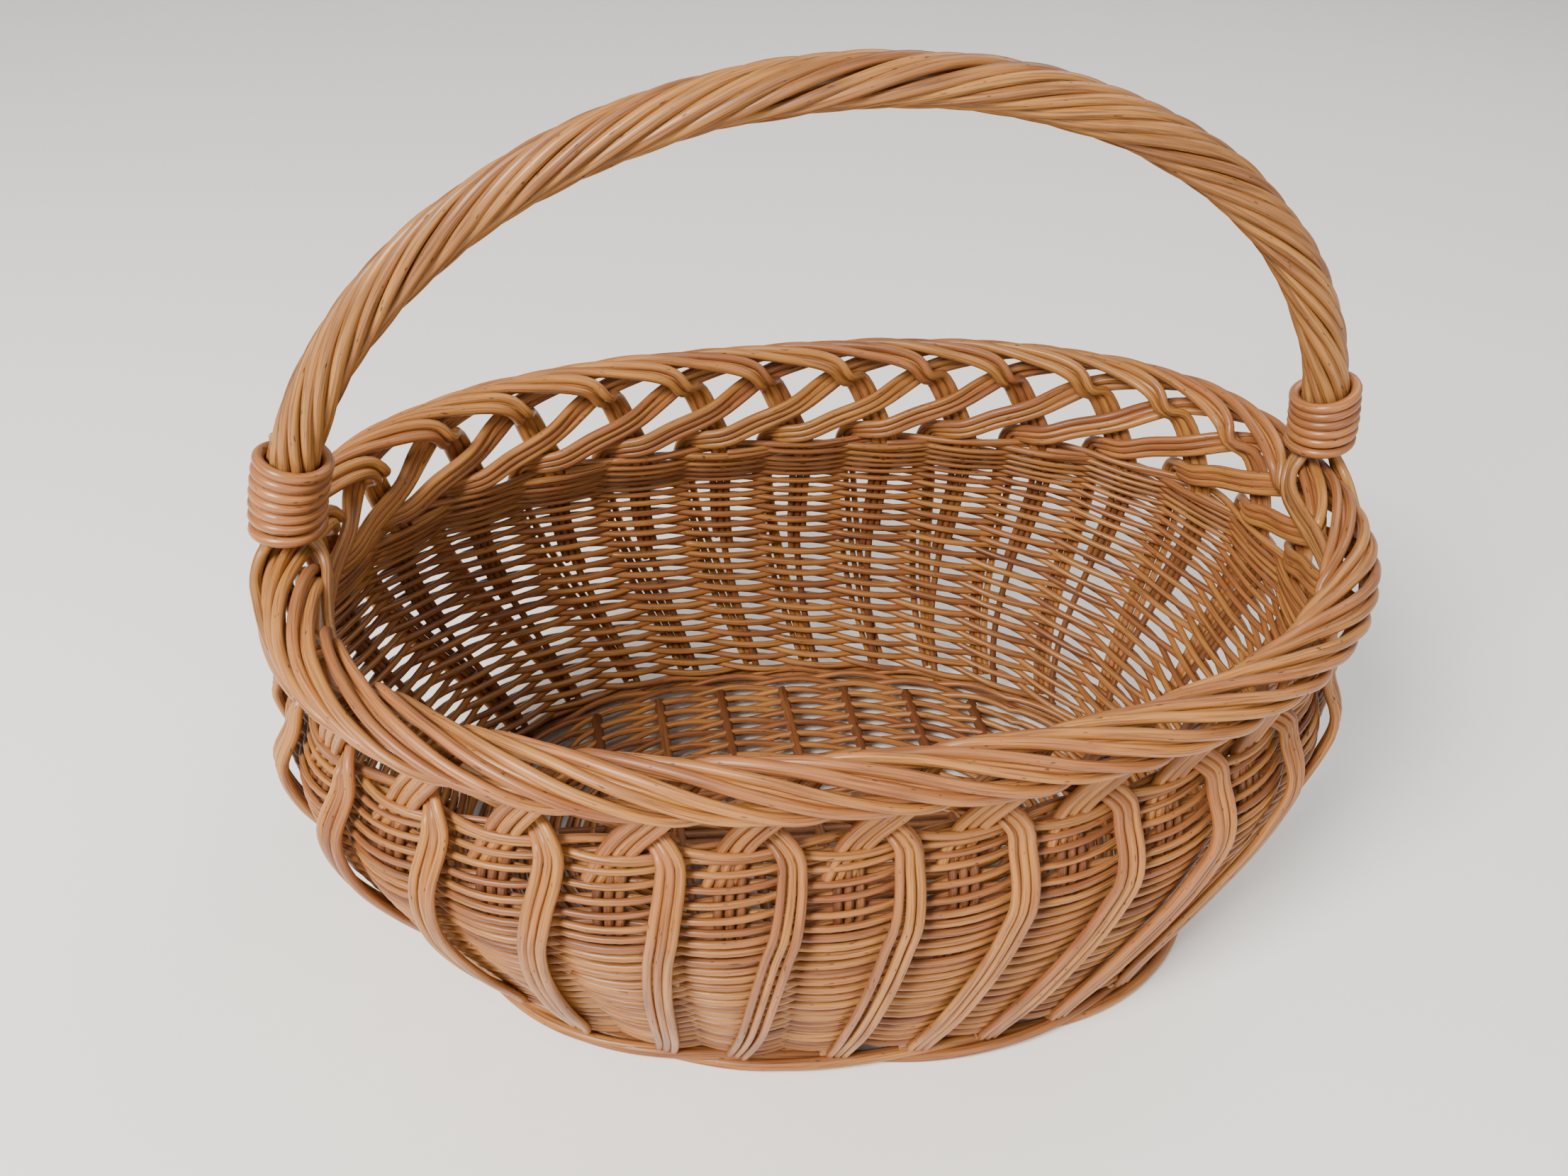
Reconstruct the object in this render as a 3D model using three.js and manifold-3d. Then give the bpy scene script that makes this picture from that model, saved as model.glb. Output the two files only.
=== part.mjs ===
// Oval fruit basket woven from willow rods, with a fixed twisted handle over its long axis.
// Millimetres, +Z up, +X along the oval. The origin is under the middle of the basket, on the floor.
//
// A place on the basket is given by three numbers, and basketPoint() turns them into a point:
//   station  how far round the oval, counted in bows, anticlockwise seen from above from the +X end
//   outward  distance out from the middle of the wall, level with the floor
//   height   height above the floor
import * as THREE from 'three';
import { mergeVertices } from 'three/addons/utils/BufferGeometryUtils.js';
import Module from 'manifold-3d';

const wasm = await Module();
wasm.setup();

// ---- Oval plan and upright profile ----
const BOWS = 28;
const FIRST_BOW = 0.55; // station of the first bow: it keeps the bows clear of the handle ends
const OVAL_SQUARENESS = 2.35; // 2 is an ellipse, more is squarer
const FOOT_HALF_LENGTH = 172;
const FOOT_HALF_WIDTH = 115;
const RIM_HALF_LENGTH = 210;
const RIM_HALF_WIDTH = 140;
const END_BELLY_SWELL = 9; // how far the belly passes the rim, and the height where it is widest
const END_BELLY_HEIGHT = 125;
const SIDE_BELLY_SWELL = 3;
const SIDE_BELLY_HEIGHT = 118;
const NECK_END_SWELL = 2; // the neck is the wall's top edge
const NECK_SIDE_DRAW = 9.5; // how far the neck is drawn in from the rim
const WALL_TOP = 147.5; // height of the neck
const END_BELLY_REACH = RIM_HALF_LENGTH + END_BELLY_SWELL;
const SIDE_BELLY_REACH = RIM_HALF_WIDTH + SIDE_BELLY_SWELL;
const NECK_HALF_LENGTH = RIM_HALF_LENGTH + NECK_END_SWELL;
const NECK_HALF_WIDTH = RIM_HALF_WIDTH - NECK_SIDE_DRAW;
const RIM_HEIGHT = 186; // middle of the rope rim, half way along the sides
const RIM_END_LIFT = 5.5; // the rim rises towards both ends
const RIM_TILT = 0.03; // and it rises a little towards +X
const LEAN_HEIGHT = 110; // below this the hand-woven body settles off its centre
const FOOT_SHIFT_X = 8;
const FOOT_SHIFT_Y = -6;
const FOOT_TURN = THREE.MathUtils.degToRad(-5);

// ---- Wall, foot and base ----
const GAP = 0.5; // clearance between neighbouring pieces
const FOOT_RING_HEIGHT = 8;
const FOOT_RING_OUTSIDE = 8;
const FOOT_RING_INSIDE = 5;
const WALL_HALF_THICKNESS = 4.4;
const WALL_TOP_HALF_THICKNESS = 1.6;
const BASE_BOTTOM = 4;
const BASE_TOP = 12;
const CROSS_STICKS = 7;
const CROSS_STICK_SPACING = 34;
const CROSS_STICK_WIDTH = 6;
const CROSS_STICK_BOTTOM = 6.3;
const CROSS_STICK_TOP = 13.3;
const LONG_STICKS = 3;
const LONG_STICK_WIDTH = 5;
const LONG_STICK_BOTTOM = 8.3;
const LONG_STICK_TOP = 11.3;
const STICK_END_GAP = 8; // from a stick's end to the edge of the base

// ---- Bows: bundles of rods that make the openwork border, the rim and the ribs ----
const RIBBON_WIDTH = 12.5; // three rods side by side
const RIBBON_THICKNESS = 4.2;
const ROPE_INNER_RADIUS = 4.2; // the bows lie round the middle of the rope rim as wedges
const ROPE_OUTER_RADIUS = 9.8;
const ROPE_WEDGE = THREE.MathUtils.degToRad(26); // half of the angle that one bow fills
const ROPE_START = 160; // degrees round the rope, 0 is outwards and 90 is up
const ROPE_END = -50;
const ROPE_FIRST_STATION = 0.7;
const ROPE_LAST_STATION = 3.5;
const RIB_STATION = 5.55;
const RIB_SLANT = 0.45; // stations that a rib leans back on its way down to the foot
const BOW_STEPS = 25;

// ---- Handle ----
const HANDLE_OVERHANG = 1; // the handle's ends stand this far out from the middle of the rope rim
const HANDLE_HALF_SPAN = RIM_HALF_LENGTH + HANDLE_OVERHANG;
const HANDLE_RISE = 182; // middle of the handle above the middle of the rim
const HANDLE_START = 17; // the bindings' lower end above the middle of the rim
const HANDLE_STRANDS = 10;
const HANDLE_TWIST_TURNS = 3.7;
const CORE_RADIUS = 5;
const STRAND_INNER_RADIUS = 5.5;
const STRAND_OUTER_RADIUS = 9.4;
const STRAND_FILL = 0.9; // share of its angle that one strand fills
const BINDING_ROD = 4.2;
const BINDING_PITCH = 4.8;
const LEFT_BINDING_TURNS = 7;
const RIGHT_BINDING_TURNS = 6;
const LEG_WIDTH = 5.5;

const WILLOW = new THREE.Color(0x9a5f33);
const DARK_WILLOW = new THREE.Color(0x7c4522);
const GOLDEN_WILLOW = new THREE.Color(0xb0743a);

// ---- The basket's shape ----
function smoothRise(low, high, share) {
  return low + (high - low) * (1 - Math.cos(Math.PI * Math.min(Math.max(share, 0), 1))) / 2;
}

// How far a wall reaches at a height: it rises from the foot to the belly, draws in to the neck and
// opens again to the rim.
function reachAboveBelly(height, bellyHeight, belly, neck, rim) {
  if (height < WALL_TOP) {
    return smoothRise(belly, neck, (height - bellyHeight) / (WALL_TOP - bellyHeight));
  }
  return smoothRise(neck, rim, (height - WALL_TOP) / (RIM_HEIGHT - WALL_TOP));
}

function halfLength(height) {
  if (height < END_BELLY_HEIGHT) {
    return smoothRise(FOOT_HALF_LENGTH, END_BELLY_REACH, height / END_BELLY_HEIGHT);
  }
  return reachAboveBelly(height, END_BELLY_HEIGHT, END_BELLY_REACH, NECK_HALF_LENGTH, RIM_HALF_LENGTH);
}

function halfWidth(height) {
  if (height < SIDE_BELLY_HEIGHT) {
    const share = Math.max(height, 0) / SIDE_BELLY_HEIGHT;
    return FOOT_HALF_WIDTH + (SIDE_BELLY_REACH - FOOT_HALF_WIDTH) * Math.sin(share * Math.PI / 2);
  }
  return reachAboveBelly(height, SIDE_BELLY_HEIGHT, SIDE_BELLY_REACH, NECK_HALF_WIDTH, RIM_HALF_WIDTH);
}

function ovalPoint(angle, length, width) {
  const x = Math.cos(angle);
  const y = Math.sin(angle);
  const power = OVAL_SQUARENESS;
  const reach = (Math.abs(x) ** power + Math.abs(y) ** power) ** (-1 / power);
  return new THREE.Vector2(length * reach * x, width * reach * y);
}

// Stations are evenly spaced along the rim, so their angles come from its measured length.
class RimOval extends THREE.Curve {
  getPoint(share, target = new THREE.Vector3()) {
    const point = ovalPoint(share * 2 * Math.PI, RIM_HALF_LENGTH, RIM_HALF_WIDTH);
    return target.set(point.x, point.y, RIM_HEIGHT);
  }
}
const rimOval = new RimOval();
rimOval.arcLengthDivisions = 800;

function stationAngle(station) {
  const turns = Math.floor(station / BOWS);
  const share = station / BOWS - turns;
  return 2 * Math.PI * (turns + rimOval.getUtoTmapping(share));
}

// Puts a point of the true oval where the hand-woven basket has it.
function settle(point) {
  const { x, y, z } = point;
  const lean = Math.min(Math.max(1 - z / LEAN_HEIGHT, 0), 1) ** 2;
  const turn = FOOT_TURN * lean;
  const rise = RIM_END_LIFT * (x / RIM_HALF_LENGTH) ** 2 + RIM_TILT * x;
  return point.set(
    x * Math.cos(turn) - y * Math.sin(turn) + FOOT_SHIFT_X * lean,
    x * Math.sin(turn) + y * Math.cos(turn) + FOOT_SHIFT_Y * lean,
    z + rise * Math.min(Math.max(z / RIM_HEIGHT, 0), 1),
  );
}

function ovalPlace(station, outward, height) {
  const angle = stationAngle(station);
  const length = halfLength(height);
  const width = halfWidth(height);
  const foot = ovalPoint(angle, length, width);
  const power = OVAL_SQUARENESS - 1;
  const normal = new THREE.Vector2(
    Math.sign(foot.x) * Math.abs(foot.x / length) ** power / length,
    Math.sign(foot.y) * Math.abs(foot.y / width) ** power / width,
  ).normalize();
  return new THREE.Vector3(foot.x + normal.x * outward, foot.y + normal.y * outward, height);
}

function basketPoint(station, outward, height) {
  return settle(ovalPlace(station, outward, height));
}

// ---- Building tools ----
// Bends a straight geometry into its place, one corner at a time, and closes its seams.
function bend(geometry, place) {
  const positions = geometry.attributes.position;
  const corner = new THREE.Vector3();
  for (let i = 0; i < positions.count; i += 1) {
    corner.fromBufferAttribute(positions, i);
    const moved = place(corner.x, corner.y, corner.z);
    positions.setXYZ(i, moved.x, moved.y, moved.z);
  }
  return joined(geometry);
}

function joined(geometry) {
  geometry.deleteAttribute('normal');
  geometry.deleteAttribute('uv');
  return mergeVertices(geometry, 1e-4);
}

function toManifold(geometry) {
  const { position } = geometry.attributes;
  return new wasm.Manifold(new wasm.Mesh({
    numProp: 3,
    vertProperties: new Float32Array(position.array),
    triVerts: new Uint32Array(geometry.index.array),
  }));
}

function fromManifold(solid) {
  const mesh = solid.getMesh();
  const geometry = new THREE.BufferGeometry();
  geometry.setAttribute('position', new THREE.Float32BufferAttribute(mesh.vertProperties, 3));
  geometry.setIndex(Array.from(mesh.triVerts));
  return geometry;
}

function block(lowX, highX, lowY, highY, lowZ, highZ) {
  const box = new THREE.BoxGeometry(highX - lowX, highY - lowY, highZ - lowZ);
  box.translate((lowX + highX) / 2, (lowY + highY) / 2, (lowZ + highZ) / 2);
  return joined(box);
}

const basket = new THREE.Group();

function addPiece(name, geometry, color, roughness = 0.5) {
  const material = new THREE.MeshStandardMaterial({ color, roughness, metalness: 0, flatShading: true });
  const mesh = new THREE.Mesh(geometry, material);
  mesh.name = name;
  basket.add(mesh);
}

// A ring round the basket from its closed section, whose points are (outward, height).
function ringOfSection(section, around) {
  const lathe = new THREE.LatheGeometry(section.map(([out, up]) => new THREE.Vector2(100 + out, up)), around);
  return bend(lathe, (x, y, z) => {
    const station = -Math.atan2(z, x) / (2 * Math.PI) * BOWS;
    return basketPoint(station, Math.hypot(x, z) - 100, y);
  });
}

// ---- Foot, wall and base ----
function makeFoot() {
  const section = [
    [-FOOT_RING_INSIDE, 0],
    [FOOT_RING_OUTSIDE - 2, 0],
    [FOOT_RING_OUTSIDE, FOOT_RING_HEIGHT / 2],
    [FOOT_RING_OUTSIDE - 2, FOOT_RING_HEIGHT],
    [-FOOT_RING_INSIDE, FOOT_RING_HEIGHT],
    [-FOOT_RING_INSIDE, 0],
  ];
  addPiece('foot_wale', ringOfSection(section, 2 * BOWS), WILLOW);
}

function makeWall() {
  const bottom = FOOT_RING_HEIGHT + GAP;
  const levels = [0, 0.15, 0.35, 0.6, 0.8].map((share) => bottom + share * (WALL_TOP - bottom));
  const section = [
    ...levels.map((height) => [WALL_HALF_THICKNESS, height]),
    [WALL_TOP_HALF_THICKNESS, WALL_TOP],
    [-WALL_TOP_HALF_THICKNESS, WALL_TOP],
    ...levels.toReversed().map((height) => [-WALL_HALF_THICKNESS, height]),
    [WALL_HALF_THICKNESS, bottom],
  ];
  addPiece('wall_weave', ringOfSection(section, 2 * BOWS), WILLOW);
}

function makeBase() {
  const inset = FOOT_RING_INSIDE + 2 * GAP;
  const length = FOOT_HALF_LENGTH - inset;
  const width = FOOT_HALF_WIDTH - inset;
  const disc = bend(new THREE.CylinderGeometry(1, 1, BASE_TOP - BASE_BOTTOM, 2 * BOWS), (x, y, z) => {
    const edge = Math.hypot(x, z) > 0.5 ? ovalPoint(Math.atan2(-z, x), length, width) : { x: 0, y: 0 };
    return new THREE.Vector3(edge.x, edge.y, (BASE_TOP + BASE_BOTTOM) / 2 + y);
  });
  let weave = toManifold(disc);
  const pitch = LONG_STICK_WIDTH + GAP;
  const bandHalf = (LONG_STICKS * pitch + GAP) / 2;
  const longReach = length - STICK_END_GAP;
  const top = CROSS_STICK_TOP + 1;
  weave = weave.subtract(toManifold(
    block(-longReach - GAP, longReach + GAP, -bandHalf, bandHalf, LONG_STICK_BOTTOM - GAP, top),
  ));
  const slit = toManifold(
    block(-length, length, -bandHalf, bandHalf, LONG_STICK_BOTTOM - GAP, LONG_STICK_TOP + GAP),
  );
  for (let i = 0; i < CROSS_STICKS; i += 1) {
    const x = (i - (CROSS_STICKS - 1) / 2) * CROSS_STICK_SPACING;
    const half = CROSS_STICK_WIDTH / 2;
    const share = 1 - (Math.abs(x) / length) ** OVAL_SQUARENESS;
    const reach = width * share ** (1 / OVAL_SQUARENESS) - STICK_END_GAP;
    weave = weave.subtract(toManifold(
      block(x - half - GAP, x + half + GAP, -reach - GAP, reach + GAP, CROSS_STICK_BOTTOM - GAP, top),
    ));
    const stick = block(x - half, x + half, -reach, reach, CROSS_STICK_BOTTOM, CROSS_STICK_TOP);
    const slitStick = fromManifold(toManifold(stick).subtract(slit));
    addPiece(`base_cross_stick_${i + 1}`, bend(slitStick, toSettled), DARK_WILLOW);
  }
  for (let i = 0; i < LONG_STICKS; i += 1) {
    const y = (i - (LONG_STICKS - 1) / 2) * pitch;
    const half = LONG_STICK_WIDTH / 2;
    const stick = block(-longReach, longReach, y - half, y + half, LONG_STICK_BOTTOM, LONG_STICK_TOP);
    addPiece(`base_long_stick_${i + 1}`, bend(stick, toSettled), DARK_WILLOW);
  }
  addPiece('base_weave', bend(fromManifold(weave), toSettled), WILLOW);
}

function toSettled(x, y, z) {
  return settle(new THREE.Vector3(x, y, z));
}

// ---- Bows ----
// A strip follows its stages. A stage holds the place along the strip, then the station, the outward
// distance and the height there, the way its flat side faces (degrees, 0 is outwards and 90 is up),
// its width and thickness, and how much wider its outer side is than its inner side.
function stripGeometry(stages, firstStation, steps) {
  const places = stages.map((stage) => stage[0]);
  const curve = new THREE.CubicInterpolant(places, stages.flatMap((stage) => stage.slice(1)), 7);
  const length = places.at(-1);
  const centre = (place) => {
    const [station, outward, height] = curve.evaluate(place);
    return basketPoint(firstStation + station, outward, height);
  };
  const box = new THREE.BoxGeometry(1, 1, 1, steps, 1, 1);
  return bend(box, (x, y, z) => {
    const place = (x + 0.5) * length;
    const [station, outward, height, facing, width, thickness, flare] = Array.from(curve.evaluate(place));
    const middle = basketPoint(firstStation + station, outward, height);
    const along = centre(Math.min(place + 0.02, length)).sub(centre(Math.max(place - 0.02, 0))).normalize();
    const turn = THREE.MathUtils.degToRad(facing);
    const faced = basketPoint(firstStation + station, outward + Math.cos(turn), height + Math.sin(turn));
    const through = faced.sub(middle);
    through.addScaledVector(along, -through.dot(along)).normalize();
    const across = new THREE.Vector3().crossVectors(through, along);
    return middle.addScaledVector(across, y * (width + z * flare)).addScaledVector(through, z * thickness);
  });
}

function ropeStage(place, station, degrees) {
  const turn = THREE.MathUtils.degToRad(degrees);
  const radius = (ROPE_INNER_RADIUS + ROPE_OUTER_RADIUS) / 2;
  const thickness = ROPE_OUTER_RADIUS - ROPE_INNER_RADIUS;
  const spread = 2 * Math.tan(ROPE_WEDGE);
  return [place, station, radius * Math.cos(turn), RIM_HEIGHT + radius * Math.sin(turn), degrees,
    radius * spread, thickness, thickness * spread];
}

function bowStages() {
  const wide = RIBBON_WIDTH;
  const thick = RIBBON_THICKNESS;
  const ribOut = WALL_HALF_THICKNESS + 4 * GAP + thick / 2;
  const foot = FOOT_RING_HEIGHT + 3 * GAP;
  const rise = RIM_HEIGHT - WALL_TOP;
  const stages = [
    [0, 0, 4.2, WALL_TOP + 3 * GAP, 180, 0.8 * wide, thick, 0],
    [0.45, 0.15, 3.4, WALL_TOP + 0.4 * rise, 180, 0.8 * wide, thick, 0],
    [0.9, 0.27, -1.2, RIM_HEIGHT - 8, 190, 0.7 * wide, thick, 0],
    ropeStage(1.15, 0.46, 207),
  ];
  const ropeSteps = 4;
  for (let i = 0; i <= ropeSteps; i += 1) {
    const share = i / ropeSteps;
    const station = THREE.MathUtils.lerp(ROPE_FIRST_STATION, ROPE_LAST_STATION, share);
    const degrees = THREE.MathUtils.lerp(ROPE_START, ROPE_END, share);
    stages.push(ropeStage(0.75 + station, station, degrees));
  }
  stages.push(
    [4.6, 3.8, 0.2, RIM_HEIGHT - 11, -28, 8, thick, 0],
    [4.9, 4.05, -6.2, RIM_HEIGHT - 14, 0, 0.75 * wide, thick, 0],
    [5.45, 4.5, -6.6, WALL_TOP + 0.5 * rise, 0, 0.75 * wide, thick, 0],
    [6.05, 5.0, -6.4, WALL_TOP + 0.21 * rise, 0, 0.7 * wide, thick, 0],
    [6.4, 5.32, -1.4, WALL_TOP + 0.22 * rise, 0, 0.6 * wide, thick, 0],
    [6.65, 5.48, ribOut, WALL_TOP + 0.15 * rise, 0, 0.6 * wide, thick, 0],
    [6.95, RIB_STATION, ribOut, WALL_TOP - 8, 0, wide, thick, 0],
  );
  const ribSteps = 4;
  for (let i = 1; i <= ribSteps; i += 1) {
    const share = i / ribSteps;
    const station = RIB_STATION - RIB_SLANT * share;
    const height = THREE.MathUtils.lerp(WALL_TOP - 8, foot, share);
    stages.push([6.95 + 3 * share, station, ribOut, height, 0, wide * (1 - 0.3 * share), thick, 0]);
  }
  return stages;
}

function makeBows() {
  const stages = bowStages();
  for (let i = 0; i < BOWS; i += 1) {
    addPiece(`bow_${String(i + 1).padStart(2, '0')}`, stripGeometry(stages, FIRST_BOW + i, BOW_STEPS), WILLOW);
  }
}

// ---- Handle ----
class HandleArch extends THREE.Curve {
  getPoint(share, target = new THREE.Vector3()) {
    const first = Math.PI - Math.asin(HANDLE_START / HANDLE_RISE);
    const angle = THREE.MathUtils.lerp(first, Math.PI - first, share);
    target.set(HANDLE_HALF_SPAN * Math.cos(angle), 0, RIM_HEIGHT + HANDLE_RISE * Math.sin(angle));
    return settle(target);
  }
}
const arch = new HandleArch();
arch.arcLengthDivisions = 400;

// A point at a share of the handle's length, a radius from its middle and an angle from its outer side.
function handlePoint(share, radius, angle) {
  const middle = arch.getPointAt(share);
  const along = arch.getTangentAt(share);
  const outer = new THREE.Vector3(-along.z, 0, along.x);
  middle.addScaledVector(outer, radius * Math.cos(angle));
  middle.y += radius * Math.sin(angle);
  return middle;
}

function makeHandle() {
  const core = new THREE.CylinderGeometry(CORE_RADIUS, CORE_RADIUS, 1, 8, 32);
  addPiece('handle_core', bend(core, (x, y, z) => (
    handlePoint(y + 0.5, Math.hypot(x, z), Math.atan2(-x, z))
  )), DARK_WILLOW);
  for (let i = 0; i < HANDLE_STRANDS; i += 1) {
    const strand = new THREE.BoxGeometry(1, 1, 1, 36, 1, 1);
    addPiece(`handle_strand_${String(i + 1).padStart(2, '0')}`, bend(strand, (x, y, z) => {
      const turns = HANDLE_TWIST_TURNS * (x + 0.5) + (i + STRAND_FILL * y) / HANDLE_STRANDS;
      const radius = THREE.MathUtils.lerp(STRAND_INNER_RADIUS, STRAND_OUTER_RADIUS, z + 0.5);
      return handlePoint(x + 0.5, radius, 2 * Math.PI * turns);
    }), GOLDEN_WILLOW, 0.42);
  }
}

// One rod wound round the end of the handle. The side is -1 at the left end and 1 at the right end.
function makeBinding(name, side, turns) {
  const length = arch.getLength();
  const inner = STRAND_OUTER_RADIUS + 2 * GAP;
  const coil = new THREE.BoxGeometry(1, 1, 1, 10 * turns, 1, 1);
  addPiece(name, bend(coil, (x, y, z) => {
    const distance = ((x + 0.5) * turns + 0.5) * BINDING_PITCH + BINDING_ROD * y;
    const share = side < 0 ? distance / length : 1 - distance / length;
    return handlePoint(share, inner + BINDING_ROD * (z + 0.5), side * 2 * Math.PI * turns * x);
  }), WILLOW, 0.42);
}

// The handle's rods split below each binding, and one bundle passes each side of the rope rim.
function legStages(side, way) {
  const clear = ROPE_OUTER_RADIUS / Math.cos(ROPE_WEDGE) + 2 * GAP + RIBBON_THICKNESS / 2;
  return [
    [0, 0, side * 6, RIM_HEIGHT + HANDLE_START - 7 * GAP, 0, LEG_WIDTH, RIBBON_THICKNESS, 0],
    [0.3, way * 0.06, side * 11.5, RIM_HEIGHT + 9, 20 * side, LEG_WIDTH, RIBBON_THICKNESS, 0],
    [0.6, way * 0.25, side * clear, RIM_HEIGHT + 2, 0, LEG_WIDTH, RIBBON_THICKNESS, 0],
    [1, way * 0.62, side * clear, RIM_HEIGHT - 5, 0, LEG_WIDTH, RIBBON_THICKNESS, 0],
    [1.3, way * 0.92, side * clear, RIM_HEIGHT - 9, 0, LEG_WIDTH, RIBBON_THICKNESS, 0],
  ];
}

// Both ends' rods turn towards the front: anticlockwise at the left end, clockwise at the right end.
function makeLegs() {
  for (const [end, station, way] of [['right', 0, -1], ['left', BOWS / 2, 1]]) {
    addPiece(`${end}_outer_leg`, stripGeometry(legStages(1, way), station, 12), GOLDEN_WILLOW);
    addPiece(`${end}_inner_leg`, stripGeometry(legStages(-1, way), station, 12), GOLDEN_WILLOW);
  }
}

makeFoot();
makeWall();
makeBase();
makeBows();
makeHandle();
makeBinding('left_binding', -1, LEFT_BINDING_TURNS);
makeBinding('right_binding', 1, RIGHT_BINDING_TURNS);
makeLegs();

export default basket;
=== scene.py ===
# %% [markdown]
# # A woven fruit basket
# This lesson builds an oval basket of varnished willow. A basket is nothing but rods, so almost all
# of the work is one idea used over and over: take a straight round rod, and bend it onto its route.
#
# It could be made as a shell with a woven bump pattern, and from far away that would do. But the
# light comes through the gaps between the rods, and the rods cross, end and splay, so every rod is
# modelled here as its own closed body.

# %% Load the plain model that the basket is built round
import math
from functools import lru_cache

import bmesh
import bpy
import numpy as np
from mathutils import Matrix, Vector


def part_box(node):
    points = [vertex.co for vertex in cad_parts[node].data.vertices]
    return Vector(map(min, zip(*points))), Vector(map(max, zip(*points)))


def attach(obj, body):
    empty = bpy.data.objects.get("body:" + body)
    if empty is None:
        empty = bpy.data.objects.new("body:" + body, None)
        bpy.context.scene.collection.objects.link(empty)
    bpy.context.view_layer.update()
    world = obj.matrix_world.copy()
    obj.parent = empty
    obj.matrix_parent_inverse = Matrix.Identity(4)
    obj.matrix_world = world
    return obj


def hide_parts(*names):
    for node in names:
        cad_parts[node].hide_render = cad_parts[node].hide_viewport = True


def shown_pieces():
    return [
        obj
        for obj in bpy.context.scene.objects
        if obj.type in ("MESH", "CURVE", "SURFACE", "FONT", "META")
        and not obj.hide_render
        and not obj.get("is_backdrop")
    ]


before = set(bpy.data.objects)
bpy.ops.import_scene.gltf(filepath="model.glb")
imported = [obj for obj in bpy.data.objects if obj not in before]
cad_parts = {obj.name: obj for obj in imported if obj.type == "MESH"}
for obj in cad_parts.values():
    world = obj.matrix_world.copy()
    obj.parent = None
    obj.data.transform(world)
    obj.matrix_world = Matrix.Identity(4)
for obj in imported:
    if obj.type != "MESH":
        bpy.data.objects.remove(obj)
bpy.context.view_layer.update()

MM = 0.001
chance = np.random.default_rng(28)
print("plain model:", len(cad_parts), "nodes")

# %% [markdown]
# ## The shape of the basket
# A place on the basket is three numbers: the station, which counts bows round the oval from the
# right end, the distance outwards from the middle of the wall, and the height. Sizes are in
# millimetres. They are the sizes of the plain model, so the rods land where its solids are.

# %% Sizes of the body
BOWS = 28
FIRST_BOW = 0.55
OVAL_SQUARENESS = 2.35
FOOT_HALF_LENGTH, FOOT_HALF_WIDTH = 172, 115
RIM_HALF_LENGTH, RIM_HALF_WIDTH = 210, 140
END_BELLY_REACH, END_BELLY_HEIGHT = RIM_HALF_LENGTH + 9, 125
SIDE_BELLY_REACH, SIDE_BELLY_HEIGHT = RIM_HALF_WIDTH + 3, 118
NECK_HALF_LENGTH, NECK_HALF_WIDTH = RIM_HALF_LENGTH + 2, RIM_HALF_WIDTH - 9.5
WALL_TOP = 147.5
RIM_HEIGHT = 186
RIM_END_LIFT, RIM_TILT = 5.5, 0.03
LEAN_HEIGHT = 110
FOOT_SHIFT_X, FOOT_SHIFT_Y = 8, -6
FOOT_TURN = math.radians(-5)


def smooth_rise(low, high, share):
    return low + (high - low) * (1 - np.cos(np.pi * np.clip(share, 0, 1))) / 2


def above_belly(height, belly_height, belly, neck, rim):
    to_neck = smooth_rise(belly, neck, (height - belly_height) / (WALL_TOP - belly_height))
    to_rim = smooth_rise(neck, rim, (height - WALL_TOP) / (RIM_HEIGHT - WALL_TOP))
    return np.where(height < WALL_TOP, to_neck, to_rim)


def half_length(height):
    low = smooth_rise(FOOT_HALF_LENGTH, END_BELLY_REACH, height / END_BELLY_HEIGHT)
    high = above_belly(height, END_BELLY_HEIGHT, END_BELLY_REACH, NECK_HALF_LENGTH, RIM_HALF_LENGTH)
    return np.where(height < END_BELLY_HEIGHT, low, high)


def half_width(height):
    share = np.clip(height / SIDE_BELLY_HEIGHT, 0, 1)
    low = FOOT_HALF_WIDTH + (SIDE_BELLY_REACH - FOOT_HALF_WIDTH) * np.sin(share * np.pi / 2)
    high = above_belly(height, SIDE_BELLY_HEIGHT, SIDE_BELLY_REACH, NECK_HALF_WIDTH, RIM_HALF_WIDTH)
    return np.where(height < SIDE_BELLY_HEIGHT, low, high)


def oval_point(angle, length, width):
    x, y = np.cos(angle), np.sin(angle)
    reach = (np.abs(x) ** OVAL_SQUARENESS + np.abs(y) ** OVAL_SQUARENESS) ** (-1 / OVAL_SQUARENESS)
    return length * reach * x, width * reach * y


# %% Stations are evenly spaced along the rim
RIM_ANGLES = np.linspace(0, 2 * np.pi, 1601)
rim_x, rim_y = oval_point(RIM_ANGLES, RIM_HALF_LENGTH, RIM_HALF_WIDTH)
rim_share = np.concatenate([[0], np.cumsum(np.hypot(np.diff(rim_x), np.diff(rim_y)))])
RIM_LENGTH = rim_share[-1]
rim_share /= RIM_LENGTH


def station_angle(station):
    turns = np.floor(station / BOWS)
    return 2 * np.pi * turns + np.interp(station / BOWS - turns, rim_share, RIM_ANGLES)


def settle(x, y, z):
    """The hand-woven body leans a little off its foot, and the rim rises towards its ends."""
    lean = np.clip(1 - z / LEAN_HEIGHT, 0, 1) ** 2
    turn = FOOT_TURN * lean
    rise = RIM_END_LIFT * (x / RIM_HALF_LENGTH) ** 2 + RIM_TILT * x
    return np.stack([
        x * np.cos(turn) - y * np.sin(turn) + FOOT_SHIFT_X * lean,
        x * np.sin(turn) + y * np.cos(turn) + FOOT_SHIFT_Y * lean,
        z + rise * np.clip(z / RIM_HEIGHT, 0, 1),
    ], axis=-1)


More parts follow.
